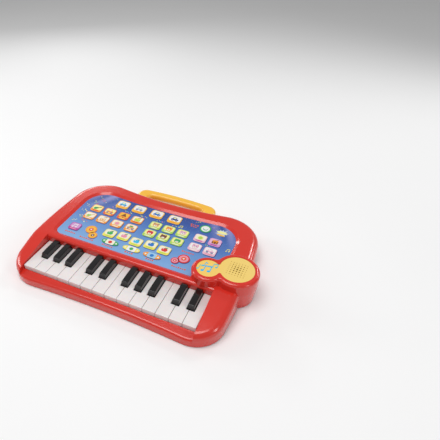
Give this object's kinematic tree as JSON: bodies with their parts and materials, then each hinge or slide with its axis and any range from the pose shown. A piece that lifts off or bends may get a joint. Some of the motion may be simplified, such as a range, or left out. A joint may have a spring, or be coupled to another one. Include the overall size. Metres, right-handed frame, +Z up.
{
  "type": "toy electronic keyboard",
  "caption": "Child's tabletop keyboard with hinged white and black keys, printed touch panel, round loudspeaker tower and fixed carry handle.",
  "frame": {"origin": "on the table under the middle of the whole keyboard's bounding box", "axes": "+X to the player's right along the keys, +Y to the back towards the handle, +Z up"},
  "size_m": [0.3646, 0.284, 0.05],
  "materials": {
    "red_shell": "polished moulded ABS, red all through",
    "keys_white": "moulded, low gloss",
    "keys_black": "polished moulded black",
    "handle_yellow": "satin moulded orange-yellow",
    "grille_yellow": "satin moulded yellow with printed notes",
    "printed_sheet": "glossy printed polyester sheet",
    "membrane_film": "clear film with printed silver tracks",
    "inner_plastic": "plain moulded",
    "ribbon_film": "flat cable",
    "cone_paper": "pressed paper, stands in as fabric",
    "speaker_steel": "pressed steel",
    "magnet_steel": "ferrite with steel cap",
    "foam_rubber": "soft foam",
    "screw_steel": "zinc plated",
    "rod_steel": "drawn steel",
    "spring_steel": "nickel plated",
    "cell_steel": "wrapped steel can",
    "board_green": "solder mask",
    "component_black": "epoxy and moulded cases",
    "dome_rubber": "silicone",
    "wire_red": "insulated lead",
    "switch_metal": "tinned can",
    "knob_black": "moulded",
    "foot_rubber": "matt rubber"
  },
  "bodies": {
    "case": {"top_housing": "red_shell", "bottom_housing": "red_shell", "battery_door": "red_shell", "battery_door_screw": "screw_steel", "batteries": "cell_steel", "battery_contacts": "spring_steel", "battery_springs": "spring_steel", "carry_handle": "handle_yellow", "panel_overlay": "printed_sheet", "panel_membrane": "membrane_film", "panel_backplate": "inner_plastic", "panel_ribbon": "ribbon_film", "speaker_grille": "grille_yellow", "speaker_frame": "speaker_steel", "speaker_cone": "cone_paper", "speaker_magnet": "magnet_steel", "speaker_gasket": "foam_rubber", "speaker_retainer": "inner_plastic", "speaker_screws": "screw_steel", "key_chassis": "inner_plastic", "key_pivot_rod": "rod_steel", "key_contact_board": "board_green", "key_dome_strip": "dome_rubber", "key_ribbon": "ribbon_film", "main_board": "board_green", "board_components": "component_black", "speaker_wires": "wire_red", "battery_wires": "wire_red", "power_switch_body": "switch_metal", "housing_screws": "screw_steel", "inner_screws": "screw_steel", "rubber_feet": "foot_rubber"},
    "white_key_01": {"white_key_01": "keys_white"},
    "white_key_02": {"white_key_02": "keys_white"},
    "white_key_03": {"white_key_03": "keys_white"},
    "white_key_04": {"white_key_04": "keys_white"},
    "white_key_05": {"white_key_05": "keys_white"},
    "white_key_06": {"white_key_06": "keys_white"},
    "white_key_07": {"white_key_07": "keys_white"},
    "white_key_08": {"white_key_08": "keys_white"},
    "white_key_09": {"white_key_09": "keys_white"},
    "white_key_10": {"white_key_10": "keys_white"},
    "white_key_11": {"white_key_11": "keys_white"},
    "white_key_12": {"white_key_12": "keys_white"},
    "white_key_13": {"white_key_13": "keys_white"},
    "white_key_14": {"white_key_14": "keys_white"},
    "black_key_01": {"black_key_01": "keys_black"},
    "black_key_02": {"black_key_02": "keys_black"},
    "black_key_03": {"black_key_03": "keys_black"},
    "black_key_04": {"black_key_04": "keys_black"},
    "black_key_05": {"black_key_05": "keys_black"},
    "black_key_06": {"black_key_06": "keys_black"},
    "black_key_07": {"black_key_07": "keys_black"},
    "black_key_08": {"black_key_08": "keys_black"},
    "black_key_09": {"black_key_09": "keys_black"},
    "black_key_10": {"black_key_10": "keys_black"},
    "power_switch_knob": {"power_switch_knob": "knob_black"}
  },
  "joints": [
    {"name": "white_key_01_press", "type": "hinge", "parent": "case", "child": "white_key_01", "pos_m": [-0.1456, -0.04645, 0.0135], "axis": [1, 0, 0], "range_deg": [0, 3.2], "stiffness_Nm_per_rad": 0.1, "springref_deg": -17.19, "deforming": ["key_dome_strip"]},
    {"name": "white_key_02_press", "type": "hinge", "parent": "case", "child": "white_key_02", "pos_m": [-0.1226, -0.04645, 0.0135], "axis": [1, 0, 0], "range_deg": [0, 3.2], "stiffness_Nm_per_rad": 0.1, "springref_deg": -17.19, "deforming": ["key_dome_strip"]},
    {"name": "white_key_03_press", "type": "hinge", "parent": "case", "child": "white_key_03", "pos_m": [-0.1011, -0.04645, 0.0135], "axis": [1, 0, 0], "range_deg": [0, 3.2], "stiffness_Nm_per_rad": 0.1, "springref_deg": -17.19, "deforming": ["key_dome_strip"]},
    {"name": "white_key_04_press", "type": "hinge", "parent": "case", "child": "white_key_04", "pos_m": [-0.0781, -0.04645, 0.0135], "axis": [1, 0, 0], "range_deg": [0, 3.2], "stiffness_Nm_per_rad": 0.1, "springref_deg": -17.19, "deforming": ["key_dome_strip"]},
    {"name": "white_key_05_press", "type": "hinge", "parent": "case", "child": "white_key_05", "pos_m": [-0.0656, -0.04645, 0.0135], "axis": [1, 0, 0], "range_deg": [0, 3.2], "stiffness_Nm_per_rad": 0.1, "springref_deg": -17.19, "deforming": ["key_dome_strip"]},
    {"name": "white_key_06_press", "type": "hinge", "parent": "case", "child": "white_key_06", "pos_m": [-0.04185, -0.04645, 0.0135], "axis": [1, 0, 0], "range_deg": [0, 3.2], "stiffness_Nm_per_rad": 0.1, "springref_deg": -17.19, "deforming": ["key_dome_strip"]},
    {"name": "white_key_07_press", "type": "hinge", "parent": "case", "child": "white_key_07", "pos_m": [-0.0181, -0.04645, 0.0135], "axis": [1, 0, 0], "range_deg": [0, 3.2], "stiffness_Nm_per_rad": 0.1, "springref_deg": -17.19, "deforming": ["key_dome_strip"]},
    {"name": "white_key_08_press", "type": "hinge", "parent": "case", "child": "white_key_08", "pos_m": [-0.0056, -0.04645, 0.0135], "axis": [1, 0, 0], "range_deg": [0, 3.2], "stiffness_Nm_per_rad": 0.1, "springref_deg": -17.19, "deforming": ["key_dome_strip"]},
    {"name": "white_key_09_press", "type": "hinge", "parent": "case", "child": "white_key_09", "pos_m": [0.0174, -0.04645, 0.0135], "axis": [1, 0, 0], "range_deg": [0, 3.2], "stiffness_Nm_per_rad": 0.1, "springref_deg": -17.19, "deforming": ["key_dome_strip"]},
    {"name": "white_key_10_press", "type": "hinge", "parent": "case", "child": "white_key_10", "pos_m": [0.0389, -0.04645, 0.0135], "axis": [1, 0, 0], "range_deg": [0, 3.2], "stiffness_Nm_per_rad": 0.1, "springref_deg": -17.19, "deforming": ["key_dome_strip"]},
    {"name": "white_key_11_press", "type": "hinge", "parent": "case", "child": "white_key_11", "pos_m": [0.0619, -0.04645, 0.0135], "axis": [1, 0, 0], "range_deg": [0, 3.2], "stiffness_Nm_per_rad": 0.1, "springref_deg": -17.19, "deforming": ["key_dome_strip"]},
    {"name": "white_key_12_press", "type": "hinge", "parent": "case", "child": "white_key_12", "pos_m": [0.0744, -0.04645, 0.0135], "axis": [1, 0, 0], "range_deg": [0, 3.2], "stiffness_Nm_per_rad": 0.1, "springref_deg": -17.19, "deforming": ["key_dome_strip"]},
    {"name": "white_key_13_press", "type": "hinge", "parent": "case", "child": "white_key_13", "pos_m": [0.09815, -0.04645, 0.0135], "axis": [1, 0, 0], "range_deg": [0, 3.2], "stiffness_Nm_per_rad": 0.1, "springref_deg": -17.19, "deforming": ["key_dome_strip"]},
    {"name": "white_key_14_press", "type": "hinge", "parent": "case", "child": "white_key_14", "pos_m": [0.1219, -0.04645, 0.0135], "axis": [1, 0, 0], "range_deg": [0, 3.2], "stiffness_Nm_per_rad": 0.1, "springref_deg": -17.19, "deforming": ["key_dome_strip"]},
    {"name": "black_key_01_press", "type": "hinge", "parent": "case", "child": "black_key_01", "pos_m": [-0.13335, -0.04645, 0.0135], "axis": [1, 0, 0], "range_deg": [0, 3.2], "stiffness_Nm_per_rad": 0.1, "springref_deg": -17.19, "deforming": ["key_dome_strip"]},
    {"name": "black_key_02_press", "type": "hinge", "parent": "case", "child": "black_key_02", "pos_m": [-0.11185, -0.04645, 0.0135], "axis": [1, 0, 0], "range_deg": [0, 3.2], "stiffness_Nm_per_rad": 0.1, "springref_deg": -17.19, "deforming": ["key_dome_strip"]},
    {"name": "black_key_03_press", "type": "hinge", "parent": "case", "child": "black_key_03", "pos_m": [-0.09035, -0.04645, 0.0135], "axis": [1, 0, 0], "range_deg": [0, 3.2], "stiffness_Nm_per_rad": 0.1, "springref_deg": -17.19, "deforming": ["key_dome_strip"]},
    {"name": "black_key_04_press", "type": "hinge", "parent": "case", "child": "black_key_04", "pos_m": [-0.05335, -0.04645, 0.0135], "axis": [1, 0, 0], "range_deg": [0, 3.2], "stiffness_Nm_per_rad": 0.1, "springref_deg": -17.19, "deforming": ["key_dome_strip"]},
    {"name": "black_key_05_press", "type": "hinge", "parent": "case", "child": "black_key_05", "pos_m": [-0.03035, -0.04645, 0.0135], "axis": [1, 0, 0], "range_deg": [0, 3.2], "stiffness_Nm_per_rad": 0.1, "springref_deg": -17.19, "deforming": ["key_dome_strip"]},
    {"name": "black_key_06_press", "type": "hinge", "parent": "case", "child": "black_key_06", "pos_m": [0.00665, -0.04645, 0.0135], "axis": [1, 0, 0], "range_deg": [0, 3.2], "stiffness_Nm_per_rad": 0.1, "springref_deg": -17.19, "deforming": ["key_dome_strip"]},
    {"name": "black_key_07_press", "type": "hinge", "parent": "case", "child": "black_key_07", "pos_m": [0.02815, -0.04645, 0.0135], "axis": [1, 0, 0], "range_deg": [0, 3.2], "stiffness_Nm_per_rad": 0.1, "springref_deg": -17.19, "deforming": ["key_dome_strip"]},
    {"name": "black_key_08_press", "type": "hinge", "parent": "case", "child": "black_key_08", "pos_m": [0.04965, -0.04645, 0.0135], "axis": [1, 0, 0], "range_deg": [0, 3.2], "stiffness_Nm_per_rad": 0.1, "springref_deg": -17.19, "deforming": ["key_dome_strip"]},
    {"name": "black_key_09_press", "type": "hinge", "parent": "case", "child": "black_key_09", "pos_m": [0.08665, -0.04645, 0.0135], "axis": [1, 0, 0], "range_deg": [0, 3.2], "stiffness_Nm_per_rad": 0.1, "springref_deg": -17.19, "deforming": ["key_dome_strip"]},
    {"name": "black_key_10_press", "type": "hinge", "parent": "case", "child": "black_key_10", "pos_m": [0.10965, -0.04645, 0.0135], "axis": [1, 0, 0], "range_deg": [0, 3.2], "stiffness_Nm_per_rad": 0.1, "springref_deg": -17.19, "deforming": ["key_dome_strip"]},
    {"name": "power_switch_slide", "type": "slide", "parent": "case", "child": "power_switch_knob", "axis": [1, 0, 0], "range_m": [0, 0.006]}
  ]
}
